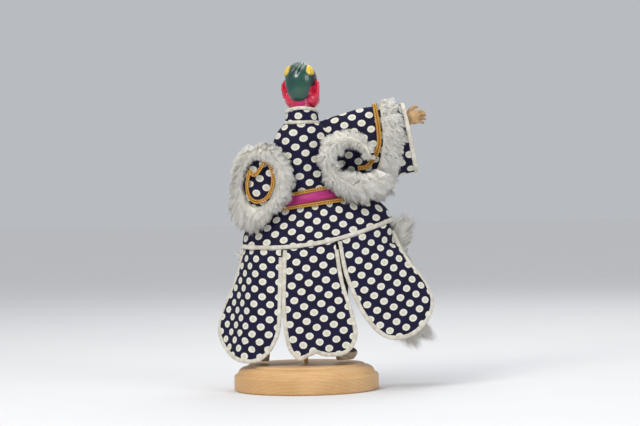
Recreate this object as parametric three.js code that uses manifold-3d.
// A glove puppet with a carved, lacquered head, shown from a plain turned wooden stand.
// A dowel stands in a round base and runs up inside the costume into the finger hole of the head.
// Millimetres, +Z up. The origin is the centre of the base's underside, on the dowel's axis.
// The puppet faces +Y, so its right hand is on the +X side.

import * as THREE from "three";
import { mergeVertices } from "three/addons/utils/BufferGeometryUtils.js";
import Module from "manifold-3d";

const wasm = await Module();
wasm.setup();

// ---------------------------------------------------------------- driving dimensions

const GAP = 0.3; // between pieces that meet
const CLOTH = 1.2; // thickness of one layer of lined cloth
const FLAP_CLOTH = 1.6; // a flap is two layers with a stiffener
const BINDING_R = 1.4; // bias binding, rolled over an edge

const BASE = { radius: 75, height: 27, wall: 16.5, topRadius: 60.5, holeFloor: 6 };
const ROD = { radius: 2, top: 319, clearance: 0.15 };

const HEAD = { width: 33, depth: 37, height: 40, centre: 320, turn: THREE.MathUtils.degToRad(-15) };
const NECK = { radius: 12.5, bottom: 286, top: 306 };
const FINGER_HOLE = { radius: 8.5, top: 321.5 };
const COLLAR = { radius: 16, bottom: 279.5, top: 291.5 };

const HIP = { x: 14, halfWidth: 78, depth: 36 }; // the hem's ellipse
// How far the flaps spread below the hem.
const SKIRT_FLARE = { height: 120, right: 80, left: 42, depth: 8 };
const BELT = { height: 198, slope: 0.11, halfWidth: 6.5 };

// Each arm turns about its shoulder's Y axis.
// Its cloth starts on an arc round that axis, outside the torso's stub.
const RIGHT_SHOULDER = { x: 30, z: 262, stub: 30, sleeve: 31.5 };
const LEFT_SHOULDER = { x: -27, z: 252, stub: 11.5, sleeve: 13 };
const RIGHT_WRIST = new THREE.Vector3(77, 0, 268);
const RIGHT_HAND = { x: 107, z: 278 };
const LEFT_WRIST = new THREE.Vector3(-55.5, 14, 228);
const LEFT_HAND = { y: 47, z: 222 };
const LINING = { radius: 8, wall: CLOTH };
const WRIST_TUBE = { inner: 5, outer: 6.2 };

const LEG = { radius: 7.5, top: 166, ankle: 58, right: 38, left: -44 };
const SOLE = { bottom: 30, thickness: 4.5 };

// ---------------------------------------------------------------- materials

const cloth = (color) => new THREE.MeshStandardMaterial({ color, roughness: 0.9, metalness: 0 });
const NAVY = cloth(0x1a1640);
const CREAM = cloth(0xe6dfcf);
const FUR = cloth(0xf1ece2);
const GOLD = new THREE.MeshStandardMaterial({ color: 0xc98a1e, roughness: 0.5, metalness: 0.3 });
const SATIN = new THREE.MeshStandardMaterial({ color: 0xc4218c, roughness: 0.35, metalness: 0 });
const COTTON = cloth(0xd9d2c2);
const BEECH = new THREE.MeshStandardMaterial({ color: 0xc89a62, roughness: 0.55, metalness: 0 });
const CARVED = new THREE.MeshStandardMaterial({ color: 0xb08a56, roughness: 0.6, metalness: 0 });
const RED_LACQUER = new THREE.MeshStandardMaterial({ color: 0xc01040, roughness: 0.15, metalness: 0 });
const GREEN_LACQUER = new THREE.MeshStandardMaterial({ color: 0x0b4a3c, roughness: 0.12, metalness: 0 });
const YELLOW_LACQUER = new THREE.MeshStandardMaterial({ color: 0xd9b63a, roughness: 0.2, metalness: 0 });
const BLACK_CLOTH = cloth(0x15131a);
const PALE_SOLE = new THREE.MeshStandardMaterial({ color: 0xcdb898, roughness: 0.7, metalness: 0 });

// ---------------------------------------------------------------- helpers

const part = new THREE.Group();

function add(name, geometry, material, parent = part) {
  const mesh = new THREE.Mesh(geometry, material);
  mesh.name = name;
  parent.add(mesh);
  return mesh;
}

// Straight stretches between (position, value) stations, smoothed where they meet.
function profile(stations) {
  return (at) => {
    const first = stations[0];
    const last = stations[stations.length - 1];
    if (at <= first[0]) return first[1];
    if (at >= last[0]) return last[1];
    const i = stations.findIndex((s) => s[0] > at);
    const [a, b] = [stations[i - 1], stations[i]];
    const before = stations[i - 2] ?? a;
    const after = stations[i + 1] ?? b;
    const step = b[0] - a[0];
    const slopeA = ((b[1] - before[1]) / (b[0] - before[0])) * step;
    const slopeB = ((after[1] - a[1]) / (after[0] - a[0])) * step;
    const t = (at - a[0]) / step;
    const t2 = t * t;
    const t3 = t2 * t;
    return (
      (2 * t3 - 3 * t2 + 1) * a[1] +
      (t3 - 2 * t2 + t) * slopeA +
      (3 * t2 - 2 * t3) * b[1] +
      (t3 - t2) * slopeB
    );
  };
}

// Indexed triangles as a geometry whose faces point out.
function closedGeometry(points, triangles) {
  const volume = triangles.reduce((sum, [a, b, c]) => {
    const cross = new THREE.Vector3().crossVectors(points[b], points[c]);
    return sum + points[a].dot(cross);
  }, 0);
  const faces = volume < 0 ? triangles.map(([a, b, c]) => [a, c, b]) : triangles;
  const geometry = new THREE.BufferGeometry().setFromPoints(points);
  return geometry.setIndex(faces.flat());
}

// The place over point(u, v) that stands off the surface by lift.
// U to V turns anticlockwise seen from that side.
function raised(point, u, v, lift) {
  const step = 1e-3;
  const alongU = point(u + step, v).sub(point(u - step, v));
  const alongV = point(u, v + step).sub(point(u, v - step));
  const normal = alongU.cross(alongV).normalize();
  return point(u, v).addScaledVector(normal, lift);
}

// A sheet of cloth over point(u, v), for u and v from 0 to 1.
// Its middle layer stands off the surface by lift.
// With wrap the sheet closes on itself in u, as a sleeve or a band does.
function sheet(point, across, down, thickness, { wrap = false, lift = 0 } = {}) {
  const columns = wrap ? across : across + 1;
  const points = [];
  for (const side of [1, -1]) {
    for (let j = 0; j <= down; j++) {
      for (let i = 0; i < columns; i++) {
        points.push(raised(point, i / across, j / down, lift + (side * thickness) / 2));
      }
    }
  }
  const layer = columns * (down + 1);
  const at = (side, i, j) => side * layer + j * columns + (i % columns);
  const triangles = [];
  const quad = (a, b, c, d) => triangles.push([a, b, c], [a, c, d]);
  for (let j = 0; j < down; j++) {
    for (let i = 0; i < across; i++) {
      quad(at(0, i, j), at(0, i, j + 1), at(0, i + 1, j + 1), at(0, i + 1, j));
      quad(at(1, i, j), at(1, i + 1, j), at(1, i + 1, j + 1), at(1, i, j + 1));
    }
  }
  for (let i = 0; i < across; i++) {
    quad(at(0, i, 0), at(0, i + 1, 0), at(1, i + 1, 0), at(1, i, 0));
    quad(at(0, i, down), at(1, i, down), at(1, i + 1, down), at(0, i + 1, down));
  }
  for (let j = 0; j < down && !wrap; j++) {
    quad(at(0, 0, j), at(1, 0, j), at(1, 0, j + 1), at(0, 0, j + 1));
    quad(at(0, across, j), at(0, across, j + 1), at(1, across, j + 1), at(1, across, j));
  }
  return closedGeometry(points, triangles);
}

// A closed hoop over point(a, w), both in radians.
// a goes once round the hoop and w once round its section.
function hoop(point, around, sides) {
  const turn = 2 * Math.PI;
  const points = [];
  for (let i = 0; i < around; i++) {
    for (let j = 0; j < sides; j++) points.push(point((i / around) * turn, (j / sides) * turn));
  }
  const at = (i, j) => (i % around) * sides + (j % sides);
  const triangles = [];
  for (let i = 0; i < around; i++) {
    for (let j = 0; j < sides; j++) {
      triangles.push([at(i, j), at(i + 1, j), at(i + 1, j + 1)]);
      triangles.push([at(i, j), at(i + 1, j + 1), at(i, j + 1)]);
    }
  }
  return closedGeometry(points, triangles);
}

// A binding, braid or fur trim along an open line of points.
function cord(points, radius, steps, sides = 6) {
  const corners = Array.from({ length: sides }, (_, i) => {
    const a = (i / sides) * 2 * Math.PI;
    return new THREE.Vector2(radius * Math.cos(a), radius * Math.sin(a));
  });
  const extrudePath = new THREE.CatmullRomCurve3(points, false, "centripetal");
  return new THREE.ExtrudeGeometry(new THREE.Shape(corners), { steps, extrudePath, bevelEnabled: false });
}

// A binding or braid along a closed line of points.
function ring(points, radius, steps, sides = 6) {
  const path = new THREE.CatmullRomCurve3(points, true, "centripetal");
  return new THREE.TubeGeometry(path, steps, radius, sides, true);
}

function loopOf(count, point) {
  return Array.from({ length: count }, (_, i) => point((i / count) * 2 * Math.PI));
}

// A turned piece from (radius, height) points, its axis along +Z.
function turned(outline, segments) {
  const points = outline.map(([r, z]) => new THREE.Vector2(r, z));
  return new THREE.LatheGeometry(points, segments).rotateX(Math.PI / 2);
}

function toSolid(geometry) {
  const bare = new THREE.BufferGeometry().setAttribute("position", geometry.getAttribute("position"));
  if (geometry.index) bare.setIndex(geometry.index);
  const merged = mergeVertices(bare, 1e-3);
  const vertProperties = merged.attributes.position.array;
  const triVerts = new Uint32Array(merged.index.array);
  return new wasm.Manifold(new wasm.Mesh({ numProp: 3, vertProperties, triVerts }));
}

function toGeometry(solid) {
  const made = solid.getMesh();
  const position = new THREE.BufferAttribute(new Float32Array(made.vertProperties), 3);
  return new THREE.BufferGeometry().setAttribute("position", position).setIndex([...made.triVerts]);
}

const joined = (geometries) => geometries.map(toSolid).reduce((a, b) => a.add(b));

function ball(x, y, z, rx, ry, rz, around = 20, down = 12) {
  return new THREE.SphereGeometry(1, around, down)
    .rotateX(Math.PI / 2)
    .scale(rx, ry, rz)
    .translate(x, y, z);
}

// A rod between two points, with round ends.
function capsule(from, to, radius, around = 8) {
  const axis = new THREE.Vector3().subVectors(to, from);
  const up = new THREE.Vector3(0, 1, 0);
  const turn = new THREE.Quaternion().setFromUnitVectors(up, axis.clone().normalize());
  const middle = new THREE.Vector3().addVectors(from, to).multiplyScalar(0.5);
  return new THREE.CapsuleGeometry(radius, axis.length(), 3, around)
    .applyQuaternion(turn)
    .translate(middle.x, middle.y, middle.z);
}

// ---------------------------------------------------------------- stand

function makeStand() {
  const { radius, height, wall, topRadius, holeFloor } = BASE;
  const ovolo = { radius: radius - 4, bottom: wall + 2.5, top: height - 2.5 };
  const curve = Array.from({ length: 5 }, (_, i) => {
    const a = (i / 4) * (Math.PI / 2);
    const drop = ovolo.radius - topRadius - 1.5;
    return [topRadius + 1.5 + drop * Math.cos(a), ovolo.bottom + (ovolo.top - ovolo.bottom) * Math.sin(a)];
  });
  const hole = ROD.radius + ROD.clearance;
  add(
    "base_disc",
    turned(
      [
        [0, 0],
        [radius - 1, 0],
        [radius, 1],
        [radius, wall],
        [ovolo.radius, wall + 0.8],
        ...curve,
        [topRadius, height],
        [hole, height],
        [hole, holeFloor],
        [0, holeFloor],
      ],
      36,
    ),
    BEECH,
  );
  const bottom = holeFloor + GAP;
  add(
    "stand_rod",
    turned([[0, bottom], [ROD.radius, bottom], [ROD.radius, ROD.top - 1], [1, ROD.top], [0, ROD.top]], 12),
    BEECH,
  );
}

// ---------------------------------------------------------------- head and collar

function makeHead() {
  const group = new THREE.Group();
  group.rotation.z = HEAD.turn;
  part.add(group);
  const { width, depth, height, centre } = HEAD;
  const skull = ball(0, 0, centre, width / 2, depth / 2, height / 2, 20, 12);
  const jaw = ball(0, 2, centre - 11, 14, 15, 13.5, 16, 10);
  const neckOutline = [[0, NECK.bottom], [NECK.radius, NECK.bottom], [NECK.radius, NECK.top], [0, NECK.top]];
  const neckBar = turned(neckOutline, 20);
  const ears = [1, -1].map((side) => ball(side * 16.2, -1, centre - 8, 3, 4, 7.5, 8, 6));
  const nose = ball(0, depth / 2, centre - 6, 2.6, 3.2, 4.5, 8, 6);
  const { radius, top } = FINGER_HOLE;
  const hole = turned([[0, NECK.bottom - 2], [radius, NECK.bottom - 2], [radius, top], [0, top]], 16);
  const carved = joined([skull, jaw, neckBar, ...ears, nose]).subtract(toSolid(hole));
  add("head", toGeometry(carved), RED_LACQUER, group);

  // The lacquered cap fits over the crown and the nape. Its edge runs from the brow down behind the ears.
  const grow = (by) => ball(0, 0, centre, width / 2 + by, depth / 2 + by, height / 2 + by, 20, 12);
  const keep = new THREE.BoxGeometry(60, 60, 60)
    .rotateX(THREE.MathUtils.degToRad(32))
    .translate(0, -17.5, 343);
  const shell = toSolid(grow(1.6)).subtract(toSolid(grow(GAP + 0.1)));
  const cap = shell.intersect(toSolid(keep)).subtract(carved);
  const solid = cap.decompose().sort((a, b) => b.volume() - a.volume())[0];
  add("head_cap", toGeometry(solid), GREEN_LACQUER, group);
  for (const [name, side] of [["cap_knot_right", 1], ["cap_knot_left", -1]]) {
    const knot = toSolid(ball(side * 11.6, -8.7, centre + 12.5, 4.4, 4.4, 5.4, 12, 8));
    const cut = toSolid(grow(1.6 + GAP));
    const shaped = knot.subtract(cut).decompose().sort((a, b) => b.volume() - a.volume())[0];
    add(name, toGeometry(shaped), YELLOW_LACQUER, group);
  }
}

function makeCollar() {
  const { radius, bottom, top } = COLLAR;
  const outer = radius + CLOTH;
  const section = [[radius, bottom], [outer + 0.8, bottom], [outer, top], [radius, top], [radius, bottom]];
  add("collar", turned(section, 28), NAVY);
  const circle = (r, z) => loopOf(16, (a) => new THREE.Vector3(r * Math.cos(a), r * Math.sin(a), z));
  add("collar_top_piping", ring(circle(radius + 0.7, top + BINDING_R + GAP), BINDING_R - 0.1, 28), CREAM);
  add("collar_base_piping", ring(circle(radius + 1.4, bottom - BINDING_R - GAP), BINDING_R, 28), CREAM);
}

// ---------------------------------------------------------------- robe and belt

const robeLeft = profile([
  [150, -64], [163, -62], [177, -56], [190, -46], [210, -37],
  [228, -34], [250, -32], [266, -27], [276, -19],
]);
const robeRight = profile([
  [150, 94], [163, 94], [176, 92], [187, 86], [196, 76], [204, 63],
  [213, 51], [228, 41], [250, 35], [266, 29], [276, 19],
]);
const robeDepth = profile([
  [150, 36], [175, 31], [190, 27], [210, 23.5],
  [228, 21.5], [250, 20], [266, 18.5], [276, 17.5],
]);
const hemHeight = (x) => 149 + 0.05 * (x + 20) + 0.0017 * (x + 20) ** 2;

// The robe's surface at a height, at an angle round it from +X.
function robePoint(angle, z) {
  const half = (robeRight(z) - robeLeft(z)) / 2;
  const middle = (robeRight(z) + robeLeft(z)) / 2;
  return new THREE.Vector3(middle + half * Math.cos(angle), robeDepth(z) * Math.sin(angle), z);
}

function makeRobe() {
  const top = 275.5;
  const armhole = THREE.MathUtils.degToRad(33); // how far each edge stands back to let the arm through
  const sideSeam = THREE.MathUtils.degToRad(3);
  const edge = profile([
    [200, sideSeam], [222, sideSeam * 2], [232, armhole],
    [262, armhole], [272, sideSeam * 4], [276, sideSeam],
  ]);
  for (const [name, turn] of [["robe_back", Math.PI], ["robe_front", 0]]) {
    const point = (u, v) => {
      const x = HIP.x + HIP.halfWidth * Math.cos(turn + u * Math.PI);
      const low = hemHeight(x) + BINDING_R + GAP;
      const z = top + (low - top) * v;
      const margin = edge(z);
      return robePoint(turn + margin + u * (Math.PI - 2 * margin), z);
    };
    add(name, sheet(point, 16, 14, CLOTH), NAVY);
  }
  const hem = loopOf(32, (a) => {
    const x = HIP.x + HIP.halfWidth * Math.cos(a);
    return new THREE.Vector3(x, HIP.depth * Math.sin(a), hemHeight(x) - GAP);
  });
  add("hem_piping", ring(hem, BINDING_R, 40, 5), CREAM);

  const beltHeight = (angle) => BELT.height + BELT.slope * robePoint(angle, BELT.height).x;
  const band = (u, v) => {
    const angle = u * 2 * Math.PI;
    return robePoint(angle, beltHeight(angle) + (0.5 - v) * 2 * (BELT.halfWidth - 1.8));
  };
  add("belt", sheet(band, 32, 4, 1.2, { wrap: true, lift: -2.2 }), SATIN);
  for (const [name, v] of [["belt_braid_top", -0.19], ["belt_braid_bottom", 1.19]]) {
    const line = Array.from({ length: 32 }, (_, i) => raised(band, i / 32, v, -2.9));
    add(name, ring(line, 1.3, 44, 5), GOLD);
  }
}

// The cotton sack that the hand goes into. It is tied round the neck and is open below.
function makeGlove() {
  const width = profile([[172, 30], [200, 28], [235, 25], [262, 18], [276, 14.6]]);
  const depth = profile([[172, 20], [200, 18], [235, 17], [262, 15.5], [276, 14.6]]);
  const middle = profile([[172, 8], [200, 6], [235, 2], [262, 0]]);
  const [top, bottom] = [275, 172];
  const point = (u, v) => {
    const z = top + (bottom - top) * v;
    const a = u * 2 * Math.PI;
    return new THREE.Vector3(middle(z) + width(z) * Math.cos(a), depth(z) * Math.sin(a), z);
  };
  add("inner_glove", sheet(point, 18, 4, 1, { wrap: true }), COTTON);
}

// ---------------------------------------------------------------- flaps below the hem

// How far before or behind the middle the flaps hang, for a place across and a height.
function flareDepth(x, z) {
  const down = Math.max(150 - z, 0) / SKIRT_FLARE.height;
  const spread = x > HIP.x ? SKIRT_FLARE.right * down ** 0.7 : SKIRT_FLARE.left * down;
  const depth = HIP.depth + SKIRT_FLARE.depth * down;
  return depth * Math.sqrt(Math.max(1 - ((x - HIP.x) / (HIP.halfWidth + spread)) ** 2, 0.01));
}

// A flap hangs from the hem. Its edges are given from the hem (0) to its round foot (1).
// The binding is laid on the outline and the cloth stops inside it.
function makeFlap(name, flap) {
  const { side, left, right, foot } = flap;
  const leftEdge = profile(left);
  const rightEdge = profile(right);
  const outline = (u, v, shrink) => {
    const fall = v * (2 - v); // closer rows near the foot, where the outline turns
    const across = (u - 0.5) * 2;
    const round = Math.sqrt(Math.max(1 - Math.max((fall - 0.62) / 0.38, 0) ** 2, 0.02));
    const [l, r] = [leftEdge(fall) + shrink, rightEdge(fall) - shrink];
    const footX = flap.footX ?? (l + r) / 2;
    const middle = footX + ((l + r) / 2 - footX) * round;
    const x = middle + (across * (r - l) * round) / 2;
    const topX = leftEdge(0) + (rightEdge(0) - leftEdge(0)) * u;
    const top = hemHeight(topX) - 2 * BINDING_R - 1.4 - (shrink ? 0.2 : 0);
    const z = top - (top - foot - shrink) * fall;
    return new THREE.Vector3(x, side * flareDepth(x, z), z);
  };
  const inset = BINDING_R + 0.9;
  add(name, sheet((u, v) => outline(u, v, inset), 6, 9, FLAP_CLOTH), NAVY);
  const rows = [0, 0.1, 0.2, 0.3, 0.4, 0.5, 0.6, 0.7, 0.8, 0.9, 0.97];
  const edgePoints = [
    ...rows.map((v) => outline(0, v, 0)),
    outline(0.5, 1, 0),
    ...rows.toReversed().map((v) => outline(1, v, 0)),
  ];
  add(`${name}_binding`, cord(edgePoints, BINDING_R, 30, 5), CREAM);
  return outline;
}

function makeFlaps() {
  makeFlap("flap_left", {
    side: -1,
    left: [[0, -62], [0.3, -72], [0.55, -84], [0.75, -90.5], [1, -90]],
    right: [[0, -23.5], [0.5, -26], [0.75, -27.5], [1, -32]],
    foot: 31,
    footX: -58,
  });
  makeFlap("flap_centre", {
    side: -1,
    left: [[0, -19.5], [0.5, -21.5], [0.8, -19], [1, -15]],
    right: [[0, 32], [0.35, 38], [0.6, 47], [0.8, 51], [1, 48]],
    foot: 34,
    footX: 14,
  });
  makeFlap("flap_right", {
    side: -1,
    left: [[0, 36.5], [0.35, 43], [0.65, 55], [0.85, 63], [1, 68]],
    right: [[0, 88], [0.25, 104], [0.5, 124], [0.75, 131], [1, 126]],
    foot: 54,
    footX: 93,
  });
  makeFlap("apron", {
    side: 1,
    left: [[0, -24], [1, -24]],
    right: [[0, 24], [1, 24]],
    foot: 58,
  });
  const guards = {
    guard_left: {
      side: 1,
      left: [[0, -62], [0.3, -70], [0.6, -76], [1, -78]],
      right: [[0, -44], [0.3, -54], [0.7, -60], [1, -62]],
      foot: 70,
    },
    guard_right: {
      side: 1,
      left: [[0, 60], [0.5, 68], [0.8, 76], [1, 82]],
      right: [[0, 88], [0.25, 102], [0.6, 124], [0.85, 128], [1, 124]],
      foot: 56,
    },
  };
  for (const [name, guard] of Object.entries(guards)) {
    const outline = makeFlap(name, guard);
    const rows = [0.04, 0.12, 0.2, 0.28, 0.36, 0.45, 0.55, 0.65, 0.75, 0.85, 0.96];
    const over = (u, v) => raised((s, t) => outline(s, t, 4.5), u, v, 8);
    const inward = rows.map((v) => over(0, v));
    const outward = rows.toReversed().map((v) => over(1, v));
    add(`${name}_fur`, cord([...inward, over(0.5, 1), ...outward], 4.4, 22, 7), FUR);
  }
}

// ---------------------------------------------------------------- right arm, raised

const rightTop = profile([[40, 281], [60, 288], [80, 291.5], [104, 294]]);
const rightLow = profile([[40, 233], [60, 222], [80, 218], [104, 226]]);
const rightDepth = profile([[40, 13], [75, 15], [110, 17.5]]);

// The right sleeve's surface: an upright flattened bell whose mouth is cut on a slant.
function rightSleevePoint(a, x) {
  const [top, low] = [rightTop(x), rightLow(x)];
  const z = (top + low) / 2 + ((top - low) / 2) * Math.sin(a);
  const slant = THREE.MathUtils.smoothstep(x, 70, 110.5) * 0.19;
  return new THREE.Vector3(x - slant * (z - 260), rightDepth(x) * Math.cos(a), z);
}

// Where the sleeve's line at an angle round it crosses an arc about the shoulder.
function rightSleeveStart(a, radius) {
  let [near, far] = [RIGHT_SHOULDER.x, RIGHT_SHOULDER.x + 40];
  for (let i = 0; i < 24; i++) {
    const x = (near + far) / 2;
    const z = rightSleevePoint(a, x).z;
    if (Math.hypot(x - RIGHT_SHOULDER.x, z - RIGHT_SHOULDER.z) < radius) near = x;
    else far = x;
  }
  return near;
}

// A stretch of the right sleeve. from and to may each be a function of the angle round the sleeve.
function rightSleeve(from, to) {
  const value = (end, a) => (typeof end === "function" ? end(a) : end);
  return (u, v) => {
    const a = u * 2 * Math.PI;
    const start = value(from, a);
    return rightSleevePoint(a, start + (value(to, a) - start) * v);
  };
}

function makeRightArm() {
  const { stub, sleeve } = RIGHT_SHOULDER;
  const mouth = 109;
  const stubCloth = rightSleeve(32, (a) => rightSleeveStart(a, stub));
  add("right_armhole", sheet(stubCloth, 18, 2, CLOTH, { wrap: true }), NAVY);
  const sleeveCloth = rightSleeve((a) => rightSleeveStart(a, sleeve), mouth);
  add("right_sleeve", sheet(sleeveCloth, 20, 5, CLOTH, { wrap: true }), NAVY);
  const edge = loopOf(20, (a) => rightSleevePoint(a, mouth + BINDING_R + GAP + 0.4));
  add("right_cuff_piping", ring(edge, BINDING_R, 28, 5), CREAM);
  add("right_band_fur", sheet(rightSleeve(86, 102), 20, 2, 6, { wrap: true, lift: 4.6 }), FUR);

  const on = (turn, x) => raised(rightSleeve(0, 100), turn / 2, x / 100, 2.6);
  const braid = [
    [-0.05, 70],
    [0.1, 75],
    [0.3, 77],
    [0.5, 76],
    [0.7, 77],
    [0.85, 79],
    [1, 79],
    [1.1, 74],
    [1.18, 66],
    [1.2, 57],
  ].map(([turn, x]) => on(turn, x));
  add("right_braid", cord(braid, 1.3, 26, 5), GOLD);

  const curl = [
    [81, -26.5, 219],
    [68, -28, 210],
    [52, -31, 209],
    [34, -33, 218],
    [22, -33, 230],
    [21, -32, 244],
    [32, -30, 257],
    [46, -27, 260],
    [58, -26, 256],
  ].map((p) => new THREE.Vector3(...p));
  add("right_ring_fur", cord(curl, 7, 20, 7), FUR);

  const tube = (r, from, to) => new THREE.CylinderGeometry(r, r, to - from, 14)
    .rotateZ(Math.PI / 2)
    .translate((from + to) / 2, 0, 266);
  const outer = tube(LINING.radius, 62.5, 76);
  const bore = tube(LINING.radius - LINING.wall, 61, 78);
  add("right_lining", toGeometry(toSolid(outer).subtract(toSolid(bore))), COTTON);

  const wrist = new THREE.Group();
  wrist.position.copy(RIGHT_WRIST);
  wrist.rotation.y = -Math.atan2(RIGHT_HAND.z - RIGHT_WRIST.z, RIGHT_HAND.x - RIGHT_WRIST.x);
  part.add(wrist);
  makeHand("right", wrist, Math.hypot(RIGHT_HAND.x - RIGHT_WRIST.x, RIGHT_HAND.z - RIGHT_WRIST.z), 1);
}

// A wrist tube and a carved hand along the group's +X, with the thumb on its +Z side.
// palm is the side that the fingers curl to: +1 for +Y and -1 for -Y.
function makeHand(sideName, group, reach, palm) {
  const { inner, outer } = WRIST_TUBE;
  const along = (r, from, to) => new THREE.CylinderGeometry(r, r, to - from, 14)
    .rotateZ(Math.PI / 2)
    .translate((from + to) / 2, 0, 0);
  const [start, end] = [5, reach - 2];
  const tube = toSolid(along(outer, start, end)).subtract(toSolid(along(inner, start - 1, end + 1)));
  add(`${sideName}_wrist_tube`, toGeometry(tube), CARVED, group);

  const peg = along(inner - 0.4, reach - 12, reach + 2);
  const back = ball(reach + 8, 0, 0, 8.5, 5, 8.5, 12, 8);
  const digit = (fromX, fromZ, toX, toZ, radius) => {
    const knuckle = new THREE.Vector3(reach + fromX, palm * 0.8, fromZ);
    return capsule(knuckle, new THREE.Vector3(reach + toX, palm * 3, toZ), radius, 6);
  };
  const digits = [
    digit(13, 4.6, 21, 6, 1.75),
    digit(13, 1.2, 21.5, 1.2, 1.75),
    digit(13, -2.4, 20.5, -3.4, 1.75),
    digit(12, -5.4, 18, -7.6, 1.7),
    digit(9, 6, 16, 10, 2.1),
  ];
  add(`${sideName}_hand`, toGeometry(joined([peg, back, ...digits])), CARVED, group);
}

// ---------------------------------------------------------------- left arm, hanging with the forearm forward

// The left sleeve starts on an arc about the shoulder (v = 0), bends at v = 1, then runs straight forward.
function leftSleevePoint(a, v) {
  const [c, s] = [Math.cos(a), Math.sin(a)];
  const round = THREE.MathUtils.degToRad(207.5 + 57.5 * c);
  const { x, z, sleeve } = LEFT_SHOULDER;
  const start = new THREE.Vector3(x + sleeve * Math.cos(round), 13 * s, z + sleeve * Math.sin(round));
  const bend = new THREE.Vector3(-52 + 12 * c, -2 + 17 * s, 227 + 22 * s);
  const front = new THREE.Vector3(-55.5 + 11.5 * c, 16, 219 + 29 * s);
  if (v > 1) {
    front.y += (v - 1) * 30;
    return front;
  }
  return start
    .multiplyScalar((1 - v) ** 2)
    .addScaledVector(bend, 2 * v * (1 - v))
    .addScaledVector(front, v ** 2);
}

function makeLeftArm() {
  const stretch = (from, to) => (u, v) => leftSleevePoint(u * 2 * Math.PI, from + (to - from) * v);
  add("left_sleeve", sheet(stretch(0, 2), 18, 10, CLOTH, { wrap: true }), NAVY);
  const beyond = new THREE.Vector3(0, BINDING_R + GAP + 0.4, 0);
  const mouth = loopOf(18, (a) => leftSleevePoint(a, 2).add(beyond));
  add("left_cuff_piping", ring(mouth, BINDING_R, 26, 5), CREAM);
  add("left_band_fur", sheet(stretch(1.25, 1.75), 18, 2, 6, { wrap: true, lift: -4.6 }), FUR);

  // The shoulder's stub: a shallow dome of cloth, rounded towards the front and the back.
  const { x, z, stub } = LEFT_SHOULDER;
  const dome = (u, v) => {
    const round = THREE.MathUtils.degToRad(100 + 165 * u);
    const y = 11.5 * (2 * v - 1);
    const r = stub * Math.sqrt(1 - (y / 17) ** 2);
    return new THREE.Vector3(x + r * Math.cos(round), y, z + r * Math.sin(round));
  };
  add("left_armhole", sheet(dome, 8, 4, CLOTH), NAVY);

  // The fur ring and its braid lie behind the arm, on a surface that curves forward round its left side.
  const behind = (atX) => -34.5 + 0.0055 * (atX + 12) ** 2;
  const furRing = (a, w) => {
    const atX = -45 + 1.5 * Math.cos(w) + (24.3 + 8.2 * Math.cos(w)) * Math.cos(a);
    const atZ = 214.7 - 2.2 * Math.cos(w) + (34.7 + 10.7 * Math.cos(w)) * Math.sin(a);
    return new THREE.Vector3(atX, behind(atX) + 5.5 * Math.sin(w), atZ);
  };
  add("left_ring_fur", hoop(furRing, 24, 8), FUR);
  const braid = (a, w) => {
    const atX = -46.5 + (13.4 + 1.3 * Math.cos(w)) * Math.cos(a);
    const atZ = 217 + (21 + 1.3 * Math.cos(w)) * Math.sin(a);
    return new THREE.Vector3(atX, behind(atX) + 3 + 1.3 * Math.sin(w), atZ);
  };
  add("left_braid", hoop(braid, 24, 5), GOLD);

  const upright = (r, low, high) => {
    const bar = [[0, low], [r, low], [r, high], [0, high]];
    return turned(bar, 14).translate(-43.5, 1, 0);
  };
  const outer = upright(5, 232, 243);
  const bore = upright(5 - LINING.wall, 230, 245);
  add("left_lining", toGeometry(toSolid(outer).subtract(toSolid(bore))), COTTON);

  const wrist = new THREE.Group();
  wrist.position.copy(LEFT_WRIST);
  wrist.rotation.z = Math.PI / 2;
  part.add(wrist);
  const tilt = new THREE.Group();
  tilt.rotation.y = Math.atan2(LEFT_WRIST.z - LEFT_HAND.z, LEFT_HAND.y - LEFT_WRIST.y);
  wrist.add(tilt);
  makeHand("left", tilt, Math.hypot(LEFT_HAND.y - LEFT_WRIST.y, LEFT_HAND.z - LEFT_WRIST.z), -1);
}

// ---------------------------------------------------------------- legs

function makeLeg(side, x, turnOut) {
  const group = new THREE.Group();
  group.position.set(x, 2, 0);
  group.rotation.z = turnOut;
  part.add(group);
  const { radius, top, ankle } = LEG;
  const stuffed = turned(
    [[0, ankle], [radius - 1.5, ankle], [radius, top - 30], [radius - 1.5, top - 4], [3, top], [0, top]],
    12,
  );
  add(`${side}_leg`, stuffed, BLACK_CLOTH, group);

  const floor = SOLE.bottom + SOLE.thickness + GAP;
  const bootShape = new THREE.Shape();
  bootShape.moveTo(-8, floor);
  bootShape.lineTo(17, floor);
  bootShape.quadraticCurveTo(21, floor + 5, 15, floor + 7.5);
  bootShape.quadraticCurveTo(7, floor + 10, 7, ankle - GAP);
  bootShape.lineTo(-7.5, ankle - GAP);
  bootShape.quadraticCurveTo(-9.5, floor + 8, -8, floor);
  const soleShape = new THREE.Shape();
  soleShape.moveTo(-7, SOLE.bottom);
  soleShape.lineTo(13, SOLE.bottom);
  soleShape.quadraticCurveTo(19, SOLE.bottom + 1, 19, SOLE.bottom + SOLE.thickness);
  soleShape.lineTo(-8.5, SOLE.bottom + SOLE.thickness);
  const settings = { depth: 12, bevelEnabled: false, curveSegments: 4 };
  const stand = (geometry) => geometry.rotateX(Math.PI / 2).rotateZ(Math.PI / 2).translate(-6, 0, 0);
  add(`${side}_boot`, stand(new THREE.ExtrudeGeometry(bootShape, settings)), BLACK_CLOTH, group);
  add(`${side}_sole`, stand(new THREE.ExtrudeGeometry(soleShape, settings)), PALE_SOLE, group);
}

// ---------------------------------------------------------------- assembly

makeStand();
makeHead();
makeCollar();
makeGlove();
makeRobe();
makeFlaps();
makeRightArm();
makeLeftArm();
makeLeg("right", LEG.right, THREE.MathUtils.degToRad(-48));
makeLeg("left", LEG.left, THREE.MathUtils.degToRad(20));

export default part;
